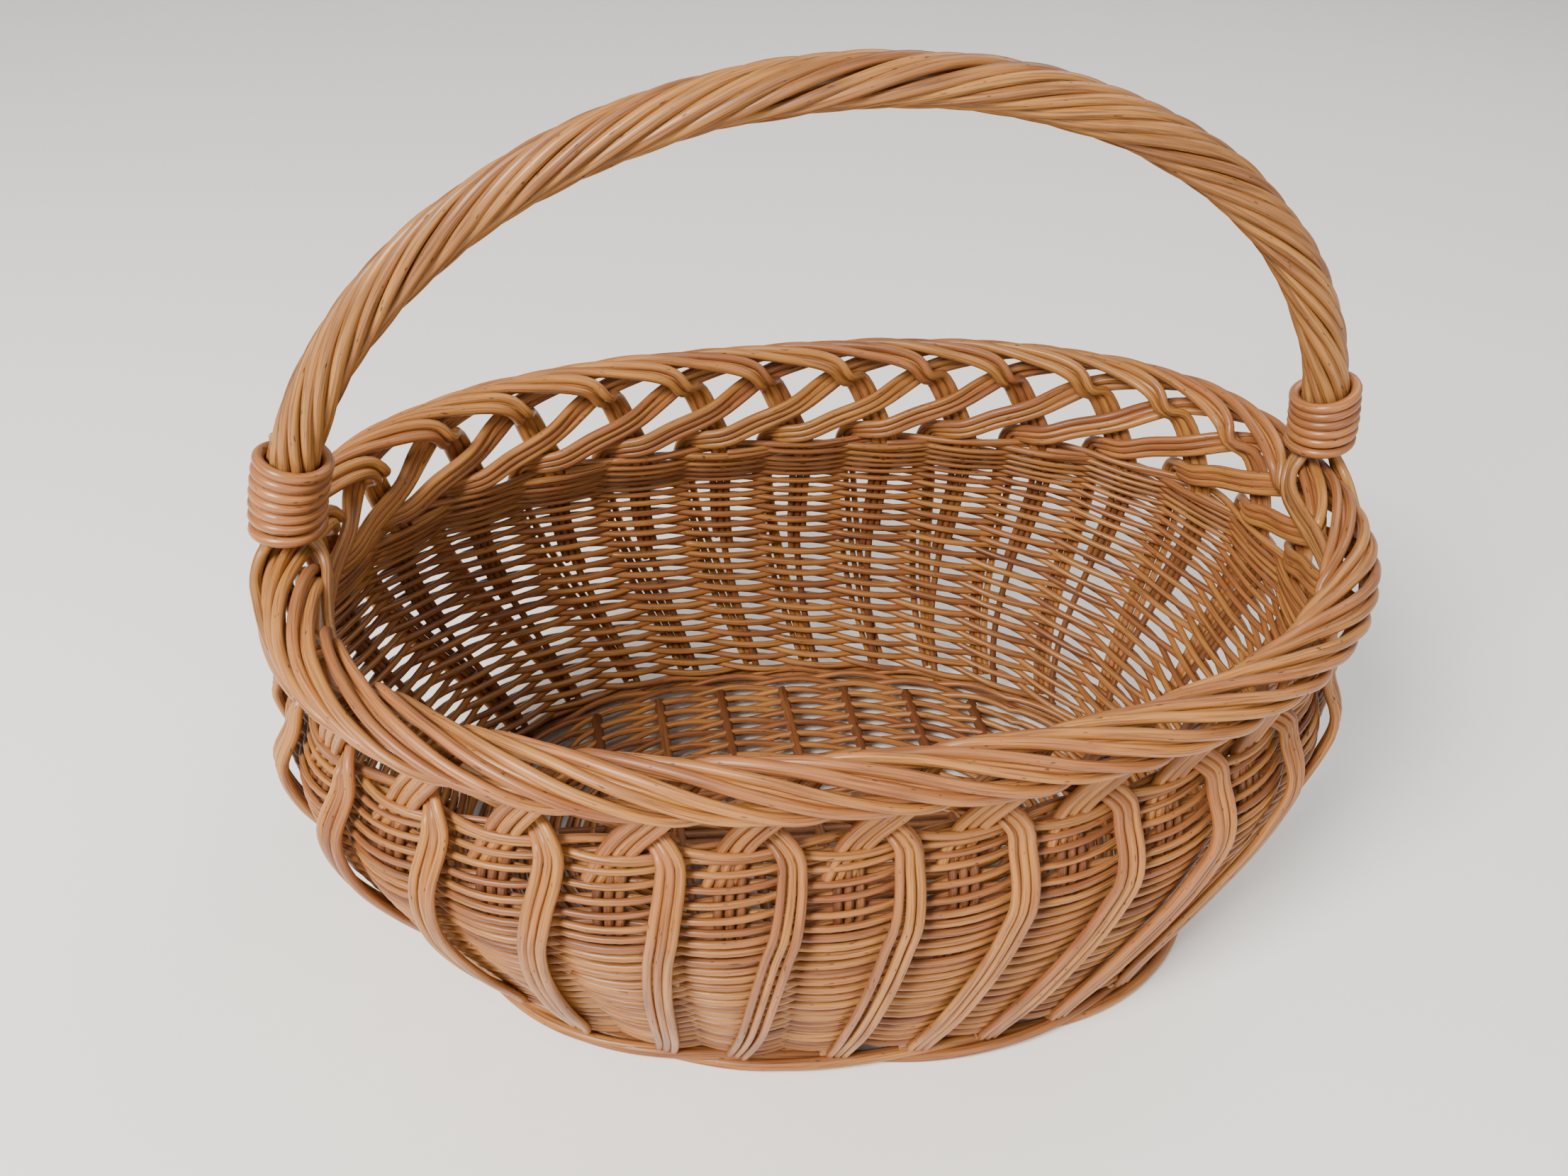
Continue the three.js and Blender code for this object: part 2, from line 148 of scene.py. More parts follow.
def basket_points(station, outward, height):
    places = (np.asarray(value, float) for value in (station, outward, height))
    station, outward, height = np.broadcast_arrays(*places)
    length, width = half_length(height), half_width(height)
    x, y = oval_point(station_angle(station), length, width)
    power = OVAL_SQUARENESS - 1
    normal_x = np.sign(x) * np.abs(x / length) ** power / length
    normal_y = np.sign(y) * np.abs(y / width) ** power / width
    size = np.hypot(normal_x, normal_y)
    return settle(x + normal_x / size * outward, y + normal_y / size * outward, height)


print("length of the rim:", round(RIM_LENGTH), "mm, so a bow every", round(RIM_LENGTH / BOWS, 1), "mm")

# %% [markdown]
# ## A straight rod, and how it is bent
# A rod could be a curve with a round bevel. But Blender leaves the ends of such a curve unjoined,
# and its surface forgets where along the rod it is. So a rod starts as a straight cylinder that is
# cut into rings, and its rings are then set along the route.
#
# Each corner also keeps its old place on the straight rod. That is how the grain is drawn later: it
# runs down the straight rod, and bends round the basket with it.


# %% A straight rod of unit thickness, cut into rings
@lru_cache(maxsize=None)
def straight_rod(sides, steps):
    rod = bmesh.new()
    middle = Matrix.Translation((0, 0, steps / 2))
    bmesh.ops.create_cone(rod, cap_ends=True, segments=sides, radius1=1, radius2=1, depth=steps,
                          matrix=middle)
    uprights = [e for e in rod.edges if abs(e.verts[0].co.z - e.verts[1].co.z) > 0.5]
    if steps > 1:
        bmesh.ops.subdivide_edges(rod, edges=uprights, cuts=steps - 1, use_grid_fill=True)
    for face in rod.faces:
        face.smooth = abs(face.normal.z) < 0.5
    for edge in rod.edges:
        edge.smooth = all(face.smooth for face in edge.link_faces)
    mesh = bpy.data.meshes.new("straight_rod")
    rod.to_mesh(mesh)
    rod.free()
    return mesh


def unit(vectors):
    return vectors / np.linalg.norm(vectors, axis=-1, keepdims=True)


def ring_frames(route):
    """Two directions across the rod at each ring, carried along it without twisting."""
    along = unit(np.gradient(route, axis=0))
    side = np.empty_like(along)
    start = np.array([0, 0, 1.0]) if abs(along[0, 2]) < 0.8 else np.array([1.0, 0, 0])
    for i, direction in enumerate(along):
        start = unit(start - start.dot(direction) * direction)
        side[i] = start
    return side, np.cross(along, side)


CUT_ROUNDING = 0.25  # a cut end's edge is worn round over this share of the rod's radius


class Bundle:
    """Rods that are finished as one piece."""

    def __init__(self, sides=8):
        self.sides = sides
        self.rods = []

    def add(self, route, radius):
        route = np.asarray(route, float)
        radius = np.broadcast_to(np.asarray(radius, float), len(route)).copy()
        first = unit(route[1] - route[0]) * radius[0] * CUT_ROUNDING
        last = unit(route[-1] - route[-2]) * radius[-1] * CUT_ROUNDING
        route = np.concatenate([[route[0] - first], route, [route[-1] + last]])
        ends = radius[0] * (1 - CUT_ROUNDING), radius[-1] * (1 - CUT_ROUNDING)
        self.rods.append((route, np.concatenate([[ends[0]], radius, [ends[1]]])))

    def bend(self, name):
        """Puts the straight rods together, then bends each one onto its route."""
        together = bmesh.new()
        for route, _ in self.rods:
            together.from_mesh(straight_rod(self.sides, len(route) - 1))
        mesh = bpy.data.meshes.new(name)
        together.to_mesh(mesh)
        together.free()
        corners = np.empty(len(mesh.vertices) * 3)
        mesh.vertices.foreach_get("co", corners)
        corners = corners.reshape(-1, 3)
        place, tone, cut = np.empty_like(corners), np.empty(len(corners)), np.empty(len(corners))
        at = 0
        for route, radius in self.rods:
            rod = slice(at, at + len(straight_rod(self.sides, len(route) - 1).vertices))
            at = rod.stop
            ring = np.rint(corners[rod, 2]).astype(int)
            side, over = ring_frames(route)
            across = corners[rod, :2] * radius[ring, None]
            length = np.concatenate([[0], np.cumsum(np.linalg.norm(np.diff(route, axis=0), axis=1))])
            corners[rod] = route[ring] + side[ring] * across[:, :1] + over[ring] * across[:, 1:]
            place[rod, :2] = across
            place[rod, 2] = length[ring] + chance.uniform(0, 5000)
            tone[rod] = chance.uniform(0, 1)
            cut[rod] = (ring == 0) | (ring == len(route) - 1)
        mesh.vertices.foreach_set("co", (corners * MM).ravel())
        mesh.attributes.new("rod_place", "FLOAT_VECTOR", "POINT").data.foreach_set("vector", place.ravel())
        mesh.attributes.new("rod_tone", "FLOAT", "POINT").data.foreach_set("value", tone)
        mesh.attributes.new("rod_cut", "FLOAT", "POINT").data.foreach_set("value", cut)
        mesh.update()
        return mesh


def wander(count, size, wave=9):
    """A slow drift from side to side, as in a rod that isn't quite straight."""
    knots = max(int(count / wave), 2) + 2
    return np.interp(np.linspace(0, knots - 1, count), np.arange(knots), chance.normal(0, size, knots))


print("straight rod:", len(straight_rod(8, 4).vertices), "corners in 4 steps")

# %% [markdown]
# ## Finishes
# Willow here is steamed with its bark off and varnished: orange brown, with a golden or a pink cast
# that changes from rod to rod, darker streaks that run along the grain, small dark flecks where
# buds were, and a clear coat that shines on the crown of each rod. A flat brown with a gloss would
# look like plastic, so all of these are drawn, in the straight rod's own space.
#
# The sums are written as sums. A small class wraps a socket, so that 1 - mask makes a Math node.


# %% Sums and nodes for finishes
class Amount:
    def __init__(self, finish, socket):
        self.finish = finish
        self.socket = socket

    def sum(self, operation, *others):
        return self.finish.node("ShaderNodeMath", {"operation": operation}, dict(enumerate((self, *others))))

    def __add__(self, other):
        return self.sum("ADD", other)

    def __sub__(self, other):
        return self.sum("SUBTRACT", other)

    def __rsub__(self, other):
        return self.finish.node("ShaderNodeMath", {"operation": "SUBTRACT"}, {0: other, 1: self})

    def __mul__(self, other):
        return self.sum("MULTIPLY", other)

    def __truediv__(self, other):
        return self.sum("DIVIDE", other)

    __radd__ = __add__
    __rmul__ = __mul__


class Finish:
    """One material, and the nodes that it is made of."""

    def __init__(self, name):
        self.material = bpy.data.materials.new(name)
        self.material.use_nodes = True
        self.tree = self.material.node_tree
        self.surface = self.tree.nodes["Principled BSDF"]

    def node(self, kind, settings=None, inputs=None, output=0):
        made = self.tree.nodes.new(kind)
        for setting, value in (settings or {}).items():
            setattr(made, setting, value)
        self.feed(made, inputs or {})
        return Amount(self, made.outputs[output])

    def feed(self, made, inputs):
        for key, value in inputs.items():
            if isinstance(value, Amount):
                self.tree.links.new(value.socket, made.inputs[key])
            else:
                made.inputs[key].default_value = value

    def attribute(self, name, output):
        return self.node("ShaderNodeAttribute", {"attribute_name": name}, output=output)

    def mix(self, share, first, second, blend="MIX"):
        inputs = {0: share, 6: first, 7: second}
        return self.node("ShaderNodeMix", {"data_type": "RGBA", "blend_type": blend}, inputs, output=2)

    def noise(self, place, stretch, detail=3.0, rough=0.55):
        scaled = self.node("ShaderNodeVectorMath", {"operation": "MULTIPLY"}, {0: place, 1: stretch})
        return self.node("ShaderNodeTexNoise", {}, {"Vector": scaled, "Scale": 1.0, "Detail": detail,
                                                    "Roughness": rough})

    def between(self, value, low, high):
        """0 below low, 1 above high, and a smooth change in between."""
        inputs = {"Value": value, "From Min": low, "From Max": high}
        return self.node("ShaderNodeMapRange", {"interpolation_type": "SMOOTHSTEP"}, inputs)


# %% Varnished willow
FLECK_STRETCH = (0.9, 0.9, 0.22)  # a fleck is about a millimetre wide and four long
STREAK_STRETCH = (1.5, 1.5, 0.035)
PATCH_STRETCH = (0.12, 0.12, 0.018)
PORE_STRETCH = (6.0, 6.0, 0.5)


def varnished_willow(name, golden, rosy, stain, gloss=0.3, coat=0.14):
    finish = Finish(name)
    place = finish.attribute("rod_place", 1)
    tone = finish.attribute("rod_tone", 2)
    cut = finish.attribute("rod_cut", 2)
    patch = finish.noise(place, PATCH_STRETCH, 2.0)
    streak = finish.noise(place, STREAK_STRETCH, 4.0, 0.6)
    pore = finish.noise(place, PORE_STRETCH, 2.0)
    fleck_noise = finish.noise(place, FLECK_STRETCH, 1.0)
    fleck = finish.between(fleck_noise, 0.70, 0.76)

    cast = finish.between(tone * 0.6 + patch * 0.8, 0.35, 1.05)
    color = finish.mix(cast, golden, rosy)
    color = finish.mix(finish.between(streak, 0.42, 0.70) * 0.8, color, stain)
    color = finish.mix(finish.between(patch, 0.50, 0.70) * 0.45, color, stain)
    color = finish.mix(finish.between(tone, 0.75, 1.0) * 0.35, color, stain)
    color = finish.mix(fleck * 0.75, color, (0.035, 0.014, 0.006, 1))
    color = finish.mix(finish.between(cut, 0.3, 0.9) * 0.7, color, (0.42, 0.25, 0.12, 1))

    height = streak * 0.5 + pore * 0.12 - fleck * 0.35
    bump = finish.node("ShaderNodeBump", {}, {"Strength": 0.5, "Distance": 0.0003, "Height": height})
    roughness = streak * 0.16 + patch * 0.14 + fleck * 0.2 + (gloss + cut * 0.4)
    finish.feed(finish.surface, {
        "Base Color": color,
        "Roughness": roughness,
        "Normal": bump,
        "Coat Weight": (1 - fleck) * coat,
        "Coat Roughness": 0.24,
        "Specular IOR Level": 0.32,
    })
    return finish.material


WEAVER = varnished_willow("weaver willow", (0.36, 0.150, 0.036, 1), (0.29, 0.104, 0.032, 1),
                          (0.080, 0.023, 0.008, 1))
BOW = varnished_willow("bow willow", (0.40, 0.172, 0.040, 1), (0.35, 0.130, 0.042, 1),
                       (0.12, 0.037, 0.011, 1))
HANDLE = varnished_willow("handle willow", (0.37, 0.166, 0.042, 1), (0.27, 0.108, 0.034, 1),
                          (0.085, 0.028, 0.009, 1))
BINDING = varnished_willow("binding willow", (0.37, 0.148, 0.040, 1), (0.32, 0.118, 0.038, 1),
                           (0.13, 0.042, 0.014, 1), gloss=0.24, coat=0.28)
STICK = varnished_willow("stick willow", (0.20, 0.076, 0.024, 1), (0.16, 0.054, 0.019, 1),
                         (0.06, 0.019, 0.007, 1))


def make_piece(name, bundle, slot, material, *nodes):
    piece = bpy.data.objects.new(name, bundle.bend(name))
    bpy.context.scene.collection.objects.link(piece)
    piece.data.materials.append(material)
    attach(piece, "root")
    if nodes:
        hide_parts(*nodes)
    return piece


# %% [markdown]
# ## The foot
# The basket stands on a ring of rods that are twisted round each other under the wall. Three stout
# rods chase each other round the edge, each lying outside the next for a while. A plain torus would
# lose the rope look, so each rod goes round the middle of the ring in a long helix.

# %% Twist the foot ring
FOOT_RODS = 3
FOOT_ROD = 2.4
FOOT_TWIST = 2.0  # how far a rod goes from the middle of the ring
FOOT_STATIONS_PER_TURN = 5
FOOT_OVERLAP = 0.6


def make_foot():
    ring = Bundle(sides=10)
    station = np.linspace(0, BOWS + FOOT_OVERLAP, 280)
    for i in range(FOOT_RODS):
        turn = 2 * np.pi * (station / FOOT_STATIONS_PER_TURN + i / FOOT_RODS)
        outward = 4.8 + (FOOT_TWIST + 0.5) * np.cos(turn) + wander(len(station), 0.2)
        height = 4.5 + FOOT_TWIST * np.sin(turn)
        ring.add(basket_points(station + i * BOWS / FOOT_RODS, outward, height), FOOT_ROD)
    return make_piece("foot_rods", ring, "weaver_willow", WEAVER, "foot_wale")


make_foot()

# %% [markdown]
# ## The base
# Seven thick sticks are slit in the middle, and three long ones are pushed through. Thin weavers go
# round them, over one stick and under the next, out to the foot.

# %% Weave the base
CROSS_STICKS = 7
CROSS_SPACING = 34
BASE_MIDDLE = 8.5
BASE_PITCH = 4.3
BASE_WEAVER = 1.75
BASE_WAVE = 2.4


def make_base_weave():
    weave = Bundle(sides=6)
    reach = FOOT_HALF_WIDTH + 5
    rows = int((reach - 12) / BASE_PITCH)
    long_extra = FOOT_HALF_LENGTH - FOOT_HALF_WIDTH
    for row in range(rows):
        angle = np.linspace(0, 2 * np.pi * 1.01, 150)
        grown = 12 + BASE_PITCH * (row + 0.5)
        x, y = oval_point(angle, grown + long_extra, grown)
        crossings = np.where(np.abs(x) < CROSS_STICKS * CROSS_SPACING / 2, x / CROSS_SPACING,
                             np.sign(x) * CROSS_STICKS / 2 + angle * 2.2)
        wave = np.cos(np.pi * (crossings + row)) * BASE_WAVE
        weave.add(settle(x, y, BASE_MIDDLE + wave), BASE_WEAVER)
    return make_piece("base_weavers", weave, "weaver_willow", WEAVER, "base_weave")


def make_base_sticks():
    for i in range(CROSS_STICKS):
        low, high = (np.array(corner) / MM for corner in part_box(f"base_cross_stick_{i + 1}"))
        y = np.linspace(low[1], high[1], 12)
        stick = Bundle(sides=10)
        stick.add(np.stack([np.full(12, (low[0] + high[0]) / 2), y, np.full(12, 9.8)], axis=1), 2.9)
        make_piece(f"cross_stick_{i + 1}", stick, "stick_willow", STICK, f"base_cross_stick_{i + 1}")
    for i in range(3):
        low, high = (np.array(corner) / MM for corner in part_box(f"base_long_stick_{i + 1}"))
        x = np.linspace(low[0], high[0], 20)
        stick = Bundle(sides=8)
        y = np.interp(x, [low[0], high[0]], [high[1] - 2.5, low[1] + 2.5])
        stick.add(np.stack([x, y, np.full(20, 9.8)], axis=1), 2.1)
        make_piece(f"long_stick_{i + 1}", stick, "stick_willow", STICK, f"base_long_stick_{i + 1}")


make_base_weave()
make_base_sticks()

# %% [markdown]
# ## The wall
# The wall is woven in French randing. A weaver is started at every stake, and each goes in front of
# one stake and behind the next, climbing as it travels. So every weaver has the same route, one
# station further round, and the rows rise gently to the right. A weaver tapers from its butt at the
# bottom to its tip at the top, so the rows also get closer together on the way up.
#
# A row is as tall as the rods in it. So the height after each station is found by adding up the
# rods' own thickness.

# %% Work out how the rows climb
WALL_BOTTOM = 9.5
ROW_LOW = 3.15  # how far a weaver climbs in one station, low in the wall
ROW_HIGH = 2.4  # and at its top
ROW_THINS_FROM = 85
ROW_THINS_TO = 138
WAVE = 3.1  # how far a weaver swings in front of and behind the stakes
STEPS_PER_STATION = 7


def climb():
    heights = [WALL_BOTTOM]
    while heights[-1] < WALL_TOP - 1:
        row = smooth_rise(ROW_LOW, ROW_HIGH, (heights[-1] - ROW_THINS_FROM) / (ROW_THINS_TO - ROW_THINS_FROM))
        heights.append(heights[-1] + float(row))
    return np.array(heights)


CLIMB = climb()
STATIONS_CLIMBED = len(CLIMB) - 1
print("each weaver passes", STATIONS_CLIMBED, "stakes")


# %% Weave the wall
def make_wall():
    steps = int(STATIONS_CLIMBED * STEPS_PER_STATION / 2) + 1
    for part, share in (("lower", np.array([0, 0.5])), ("upper", np.array([0.5, 1]))):
        weave = Bundle(sides=8)
        for j in range(BOWS):
            travelled = np.linspace(*(share * STATIONS_CLIMBED), steps)
            height = np.interp(travelled, np.arange(len(CLIMB)), CLIMB)
            row = np.interp(travelled, np.arange(len(CLIMB) - 1), np.diff(CLIMB))
            radius = np.clip(row * 0.56, 1.4, 1.72) * (1 + 0.06 * chance.normal())
            swing = np.cos(np.pi * travelled)
            outward = WAVE * np.sign(swing) * np.abs(swing) ** 0.85
            station = FIRST_BOW + j + travelled
            height = height + wander(len(travelled), 0.35)
            weave.add(basket_points(station, outward + wander(len(travelled), 0.15), height), radius)
        nodes = ["wall_weave"] if part == "lower" else []
        make_piece(f"wall_weavers_{part}", weave, "weaver_willow", WEAVER, *nodes)


make_wall()

# %% [markdown]
# Inside the weave stand the stakes. Low in the wall each is one rod. In the top third the by-stakes
# join it, and become the three rods that come out at the top.

# %% Set the stakes
STAKE = 1.85
BY_STAKE_FROM = 82
STAKE_SPACING = 4.0
STATION_LENGTH = RIM_LENGTH / BOWS


def make_stakes():
    stakes = Bundle(sides=8)
    for j in range(BOWS):
        for side in (-1, 0, 1):
            bottom = WALL_BOTTOM - 3 if side == 0 else BY_STAKE_FROM + chance.uniform(-8, 8)
            height = np.linspace(bottom, WALL_TOP - 4, 26)
            spread = side * STAKE_SPACING * np.clip((height - BY_STAKE_FROM) / 40, 0.85, 1)
            station = FIRST_BOW + j + spread / STATION_LENGTH
            stakes.add(basket_points(station, 0, height), STAKE)
    return make_piece("stakes", stakes, "stick_willow", STICK)


make_stakes()

# %% [markdown]
# Two thicker rods run round the top of the wall and lock the weave.

# %% Lock the top of the wall
TOP_RODS = ((0, 1.8, -3.0), (1, 1.7, 0.4))


def make_wall_top():
    top = Bundle(sides=8)
    for offset, thickness, above in TOP_RODS:
        for start in range(0, BOWS, 7):
            station = np.linspace(start, start + 7.4, 84) + offset + FIRST_BOW
            swing = np.cos(np.pi * (station - FIRST_BOW + offset))
            height = WALL_TOP + above + wander(len(station), 0.3)
            top.add(basket_points(station, 3.4 * swing, height), thickness)
    return make_piece("wall_top_rods", top, "weaver_willow", WEAVER)


make_wall_top()

# %% [markdown]
# ## The bows
# Each stake group comes out of the wall as three rods and leans to the right, seen from outside. It
# is wrapped round the rim for three stations with its neighbours, which makes the rope, then
# crosses back down inside, hooks over the top of the wall and runs down the outside as a rib.
#
# So border, rope and ribs are one thing: 28 bundles on the same route, one station apart. A bundle
# follows its stages. Each holds the place along the bundle, the station, the distance outwards, the
# height, the way the bundle's flat side faces, the spacing of its rods, and how far its middle rod
# stands proud.

# %% Stages of a bow
ROPE_RADIUS = 7.9
ROPE_START, ROPE_END = 160, -50
ROPE_SPACING, ROPE_SUNK = 2.7, -2.4  # the middle rod of three lies deeper in the rope
ROPE_FIRST_STATION, ROPE_LAST_STATION = 0.7, 3.5
RIB_STATION = 5.55
RIB_SLANT = 0.45  # stations that a rib leans back on its way down
BOW_ROD_BUTT, BOW_ROD_TIP = 2.3, 1.75
RISE = RIM_HEIGHT - WALL_TOP
RIB_OUT = 7.6
RIB_LEAD = 0.06  # stations that a rib has already leaned by the top row
RIB_TUCK = 2.4  # a rib draws in behind the foot ring
FOOT_TOP = 11.5


def rope_stage(place, station, degrees):
    turn = math.radians(degrees)
    outward, above = ROPE_RADIUS * math.cos(turn), ROPE_RADIUS * math.sin(turn)
    return [place, station, outward, RIM_HEIGHT + above, degrees, ROPE_SPACING, ROPE_SUNK]


def bow_stages():
    stages = [
        [0, -0.1, -0.4, WALL_TOP - 14, 180, 4.2, 0],
        [0.45, 0.16, 1.6, WALL_TOP + 0.3 * RISE, 180, 4.2, 0],
        [0.9, 0.4, -1.2, RIM_HEIGHT - 8, 190, 3.8, 0],
        rope_stage(1.15, 0.55, 207),
    ]
    for share in np.linspace(0, 1, 5):
        station = ROPE_FIRST_STATION + share * (ROPE_LAST_STATION - ROPE_FIRST_STATION)
        stages.append(rope_stage(0.75 + station, station, ROPE_START + share * (ROPE_END - ROPE_START)))
    stages += [
        [4.6, 3.8, 0.2, RIM_HEIGHT - 11, -28, 3.2, 0],
        [5.0, 4.15, -6.0, RIM_HEIGHT - 16.5, 0, 3.5, 0],
        [5.6, 4.7, -6.6, WALL_TOP + 14.5, 0, 3.5, 0],
        [6.1, 5.1, -5.6, WALL_TOP + 8.5, 0, 3.4, 0],
        [6.4, 5.33, -1.0, WALL_TOP + 6, 0, 3.3, 0],
        [6.65, 5.46, 5.6, WALL_TOP + 2, 0, 3.3, 0],
        [6.95, RIB_STATION - RIB_LEAD, RIB_OUT, WALL_TOP - 8, 0, 3.6, 0],
    ]
    for share in (0.25, 0.5, 0.75, 1):
        height = WALL_TOP - 8 + share * (FOOT_TOP - WALL_TOP + 8)
        tuck = RIB_TUCK * max(share - 0.75, 0) / 0.25
        station = RIB_STATION - RIB_LEAD - (RIB_SLANT - RIB_LEAD) * share
        stages.append([6.95 + 3 * share, station, RIB_OUT - tuck, height, 0, 3.7 - 0.5 * share, 0])
    return np.array(stages, float)


def follow(stages, count):
    """A smooth line through the stages: every stage has a slope that leads to its neighbours."""
    places, values = stages[:, 0], stages[:, 1:]
    slopes = np.gradient(values, places, axis=0)
    at = np.linspace(places[0], places[-1], count)
    i = np.clip(np.searchsorted(places, at, "right") - 1, 0, len(places) - 2)
    gap = (places[i + 1] - places[i])[:, None]
    t = ((at - places[i]) / gap[:, 0])[:, None]
    start, end = values[i], values[i + 1]
    return ((2 * t**3 - 3 * t**2 + 1) * start + (t**3 - 2 * t**2 + t) * gap * slopes[i]
            + (3 * t**2 - 2 * t**3) * end + (t**3 - t**2) * gap * slopes[i + 1])


# %% Bend the bows
BOW_RINGS = 110
RIB_SPLAY = 0.55


def make_bows():
    stages = bow_stages()
    for i in range(BOWS):
        own = stages.copy()
        ribs = own[:, 0] > 6.8
        down = np.clip((own[:, 0] - 6.95) / 3, 0, 1)
        own[ribs, 1] += chance.normal(0, 0.07) * down[ribs]
        own[1:3, 1] += chance.normal(0, 0.03)
        station, outward, height, facing, spacing, proud = follow(own, BOW_RINGS).T
        middle = basket_points(FIRST_BOW + i + station, outward, height)
        turn = np.radians(facing)
        faced = basket_points(FIRST_BOW + i + station, outward + np.cos(turn), height + np.sin(turn))
        along = unit(np.gradient(middle, axis=0))
        through = faced - middle
        through = unit(through - (through * along).sum(1, keepdims=True) * along)
        across = np.cross(through, along)
        place = np.linspace(0, 1, BOW_RINGS)
        rib = smooth_rise(0, 1, (place - 0.68) / 0.1) * (1 - smooth_rise(0, 1, (place - 0.9) / 0.1))
        bundle = Bundle(sides=10)
        for side in (-1, 0, 1):
            splay = side * (1 + rib * chance.normal(0.1, 0.16)) + rib * chance.normal(0, RIB_SPLAY) * 0.3
            lift = proud * (0.5 if side == 0 else -0.5) + wander(BOW_RINGS, 0.1, 14)
            route = middle + across * (spacing * splay)[:, None] + through * lift[:, None]
            radius = BOW_ROD_BUTT + (BOW_ROD_TIP - BOW_ROD_BUTT) * place
            bundle.add(route, radius * (1 + 0.07 * chance.normal()))
        make_piece(f"bow_rods_{i + 1:02d}", bundle, "bow_willow", BOW, f"bow_{i + 1:02d}")


make_bows()

# %% [markdown]
# ## The handle
# The handle is a stout core with ten rods laid round it as a left-handed rope. The strands are
# round and touch each other. Each could be a helix on a straight pole that is bent afterwards, but
# it is simpler to place the helix round the arch at once.

# %% The arch, and places round it
HANDLE_HALF_SPAN = RIM_HALF_LENGTH + 1
HANDLE_RISE = 182
HANDLE_START = 17
STRANDS = 10
TWIST_TURNS = 3.7
STRAND = 2.25
STRAND_CENTRE = 6.95
CORE = 5.0
ARCH_FIRST = math.pi - math.asin(HANDLE_START / HANDLE_RISE)


def arch_points(angle):
    return settle(HANDLE_HALF_SPAN * np.cos(angle), 0 * angle, RIM_HEIGHT + HANDLE_RISE * np.sin(angle))


arch_angles = np.linspace(ARCH_FIRST, math.pi - ARCH_FIRST, 801)
arch_line = arch_points(arch_angles)
arch_run = np.concatenate([[0], np.cumsum(np.linalg.norm(np.diff(arch_line, axis=0), axis=1))])
ARCH_LENGTH = arch_run[-1]


def handle_points(share, radius, angle):
    """A share of the handle's length, a distance from its middle, an angle from its outer side."""
    step = 0.001
    at = np.interp(np.clip(share, 0, 1) * ARCH_LENGTH, arch_run, arch_angles)
    middle = arch_points(at)
    along = unit(arch_points(at - step) - arch_points(at + step))
    beyond = (share - np.clip(share, 0, 1)) * ARCH_LENGTH
    middle = middle + along * np.asarray(beyond)[..., None]
    outer = np.stack([-along[:, 2], 0 * along[:, 0], along[:, 0]], axis=1)
    radius = np.asarray(radius)
    middle = middle + outer * (radius * np.cos(angle))[:, None]
    middle[:, 1] += radius * np.sin(angle)
    return middle


print("the handle is", round(ARCH_LENGTH), "mm long")


# %% Lay the handle's rods
def make_handle():
    core = Bundle(sides=12)
    share = np.linspace(0, 1, 60)
    core.add(handle_points(share, 0 * share, 0 * share), CORE)
    make_piece("handle_core_rod", core, "stick_willow", STICK, "handle_core")
    share = np.linspace(0, 1, 150)
    for i in range(STRANDS):
        strand = Bundle(sides=12)
        angle = 2 * np.pi * (TWIST_TURNS * share + i / STRANDS) + wander(len(share), 0.05, 18)
        radius = STRAND_CENTRE + wander(len(share), 0.12, 18)
        thickness = STRAND * np.clip(1 + 0.08 * chance.normal(), 0.85, 1.12)
        strand.add(handle_points(share, radius, angle), thickness)
        make_piece(f"handle_rod_{i + 1:02d}", strand, "handle_willow", HANDLE, f"handle_strand_{i + 1:02d}")


make_handle()

# %% [markdown]
# ## The bindings
# At each end one rod is wound tightly round the handle. Its turns touch, its last turn slants away,
# and its cut end is tucked in at the top.

# %% Wind the bindings
BINDING_ROD = 2.2
BINDING_PITCH = 4.8
BINDING_CENTRE = 12.1


def make_binding(name, side, turns, node):
    binding = Bundle(sides=12)
    wound = np.linspace(0, 1, 30 * turns)
    slant = 2.4 * np.exp(-wound * 9)
    distance = (wound * (turns - 0.5) + 0.75) * BINDING_PITCH - slant
    share = distance / ARCH_LENGTH if side < 0 else 1 - distance / ARCH_LENGTH
    tuck = 1.6 * smooth_rise(0, 1, (wound - 0.985) / 0.015)
    radius = BINDING_CENTRE + wander(len(wound), 0.12, 12) - tuck
    angle = side * 2 * np.pi * turns * wound + math.radians(40)
    binding.add(handle_points(share, radius, angle), BINDING_ROD)
    make_piece(name, binding, "binding_willow", BINDING, node)


make_binding("left_binding_rod", -1, 7, "left_binding")
make_binding("right_binding_rod", 1, 6, "right_binding")

# %% [markdown]
# ## Where the handle meets the rim
# Below each binding the handle's rods split. One bundle passes outside the rope rim and one inside,
# and both bend along the rim and join it.

# %% Split the handle's ends
LEG_ROD = 2.15


def leg_stages(side, way):
    outer = side > 0
    return np.array([
        [0, 0, side * 6, RIM_HEIGHT + 17, 2.6],
        [0.3, way * 0.05, side * 10.6, RIM_HEIGHT + 9, 3.2],
        [0.6, way * 0.2, side * 12.4, RIM_HEIGHT + 3, 3.6],
        [1, way * 0.55, side * 11.6, RIM_HEIGHT - (3 if outer else 1), 3.6],
        [1.4, way * 1.0, side * 10.2, RIM_HEIGHT - (6 if outer else 1), 3.3],
        [1.9, way * 1.5, side * 8.2, RIM_HEIGHT - (7 if outer else 0), 2.6],
    ], float)


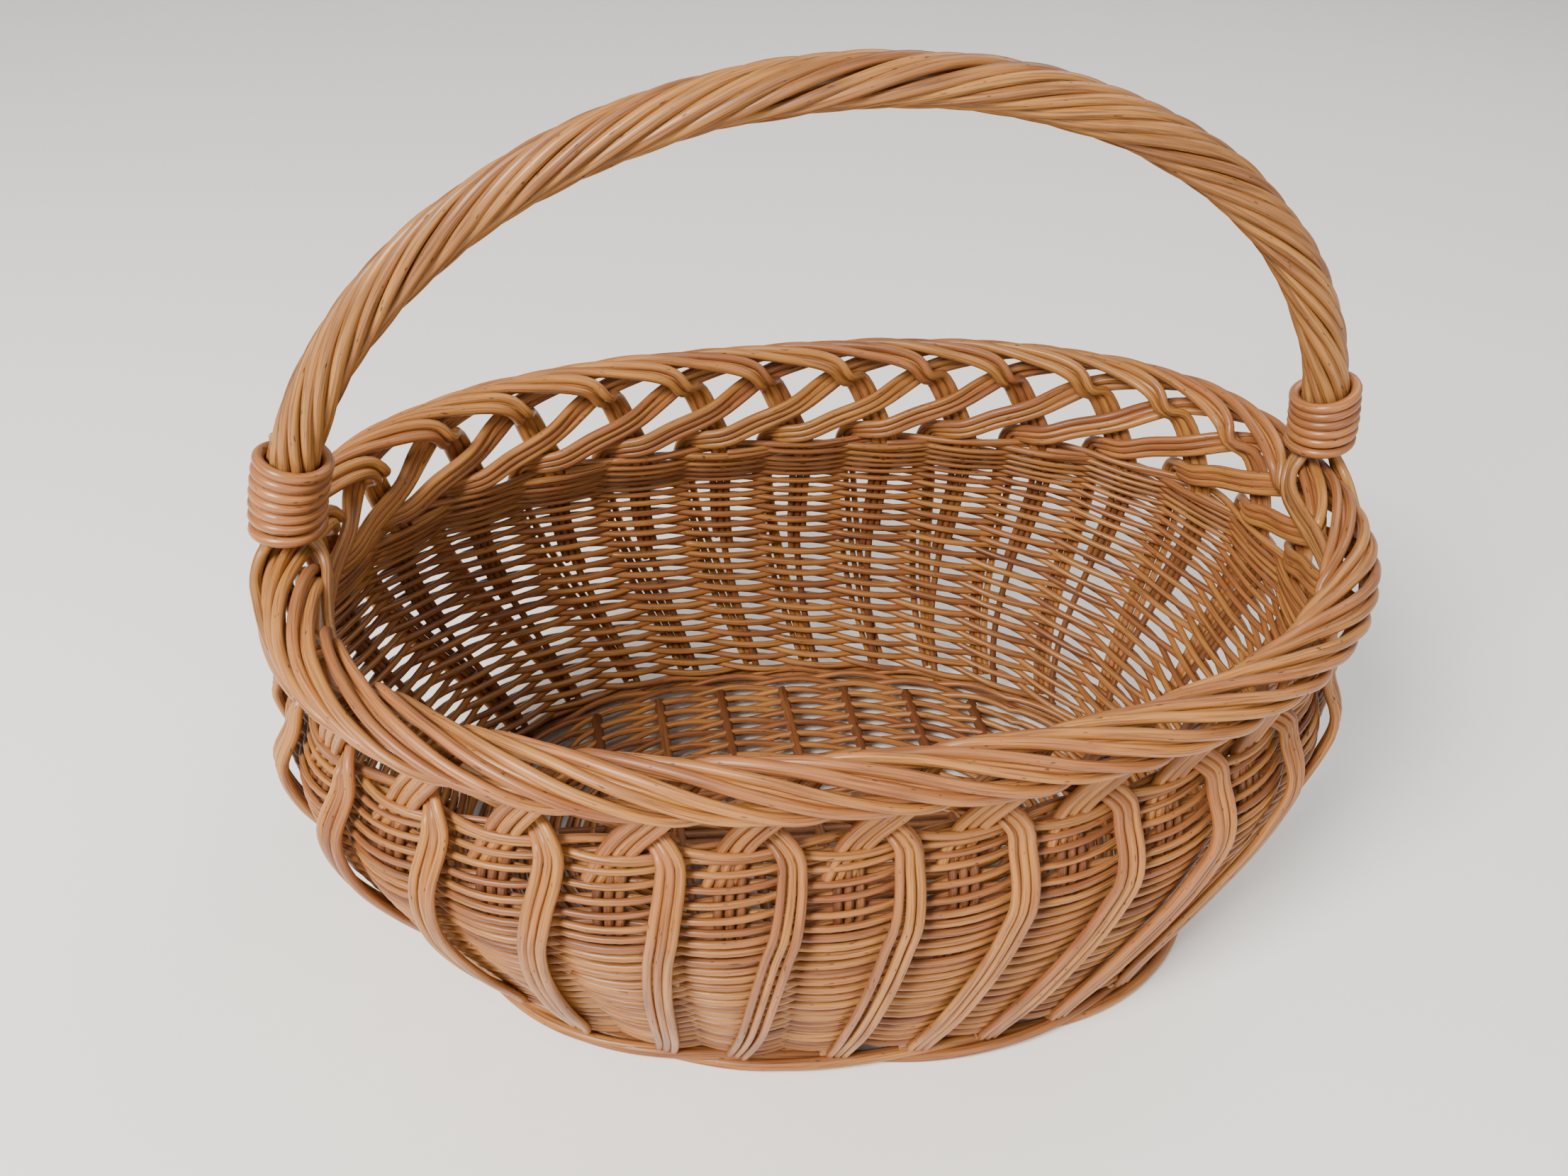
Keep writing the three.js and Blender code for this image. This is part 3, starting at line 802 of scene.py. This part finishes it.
def make_legs():
    """Both ends' rods turn towards the front of the basket."""
    for end, station, way in (("right", 0, -1), ("left", BOWS / 2, 1)):
        for place, side in (("outer", 1), ("inner", -1)):
            at, outward, height, spacing = follow(leg_stages(side, way), 44).T
            middle = basket_points(station + at, outward, height)
            ahead = unit(np.gradient(middle, axis=0))
            out = unit(basket_points(station + at, outward + 1, height) - middle)
            across = np.cross(out, ahead)
            leg = Bundle(sides=10)
            for k in (-1, 0, 1):
                route = middle + across * (spacing * k)[:, None] + out * wander(44, 0.3, 10)[:, None]
                leg.add(route, LEG_ROD * (1 + 0.07 * chance.normal()))
            make_piece(f"{end}_{place}_leg_rods", leg, "handle_willow", HANDLE, f"{end}_{place}_leg")


make_legs()

# %% [markdown]
# ## Floor, light and camera
# The basket stands on a plain flat pale floor, under a large soft light.

# %% Make the studio
FLOOR_REACH = 3.0


def plain(name, color, roughness):
    finish = Finish(name)
    finish.feed(finish.surface, {"Base Color": color, "Roughness": roughness, "Specular IOR Level": 0.2})
    return finish.material


def make_floor():
    floor = bmesh.new()
    bmesh.ops.create_grid(floor, x_segments=1, y_segments=1, size=FLOOR_REACH)
    mesh = bpy.data.meshes.new("floor")
    floor.to_mesh(mesh)
    floor.free()
    stage = bpy.data.objects.new("floor", mesh)
    stage.data.materials.append(plain("pale floor", (0.90, 0.885, 0.86, 1), 0.8))
    bpy.context.scene.collection.objects.link(stage)
    stage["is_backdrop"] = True


def make_light(name, place, aim, size, power, color):
    data = bpy.data.lights.new(name, "AREA")
    data.shape, data.size, data.energy, data.color = "DISK", size, power, color
    lamp = bpy.data.objects.new(name, data)
    lamp.location = place
    lamp.rotation_euler = (Vector(aim) - Vector(place)).to_track_quat("-Z", "Y").to_euler()
    bpy.context.scene.collection.objects.link(lamp)


make_floor()
make_light("window", (-1.1, -0.9, 1.5), (0, 0, 0.12), 0.7, 78, (1.0, 0.96, 0.90))
make_light("room", (1.2, 0.8, 1.9), (0, 0, 0.1), 1.6, 20, (0.98, 0.98, 1.0))
make_light("front fill", (0.5, -1.7, 0.8), (0, 0, 0.12), 1.4, 12, (1.0, 0.95, 0.88))
world = bpy.data.worlds.new("soft room")
world.use_nodes = True
world.node_tree.nodes["Background"].inputs["Color"].default_value = (1.0, 0.985, 0.96, 1)
world.node_tree.nodes["Background"].inputs["Strength"].default_value = 0.5
bpy.context.scene.world = world

# %% Aim the camera
CAMERA_TARGET = Vector((-10.5, 33.6, 131.7)) * MM
CAMERA_DISTANCE = 0.5981
CAMERA_AZIMUTH, CAMERA_HEIGHT, CAMERA_ROLL = (math.radians(a) for a in (-13.203, 37.958, 4.228))
CAMERA_LENS = 30.2


def make_camera():
    level = math.cos(CAMERA_HEIGHT)
    back = Vector((math.sin(CAMERA_AZIMUTH) * level, -math.cos(CAMERA_AZIMUTH) * level,
                   math.sin(CAMERA_HEIGHT)))
    data = bpy.data.cameras.new("camera")
    data.lens, data.sensor_width, data.clip_start = CAMERA_LENS, 36, 0.01
    camera = bpy.data.objects.new("camera", data)
    turned = (-back).to_track_quat("-Z", "Y").to_matrix().to_4x4()
    roll = Matrix.Rotation(CAMERA_ROLL, 4, "Z")
    camera.matrix_world = Matrix.Translation(CAMERA_TARGET + back * CAMERA_DISTANCE) @ turned @ roll
    bpy.context.scene.collection.objects.link(camera)
    bpy.context.scene.camera = camera


make_camera()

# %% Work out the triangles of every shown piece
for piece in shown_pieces():
    piece.data.calc_loop_triangles()
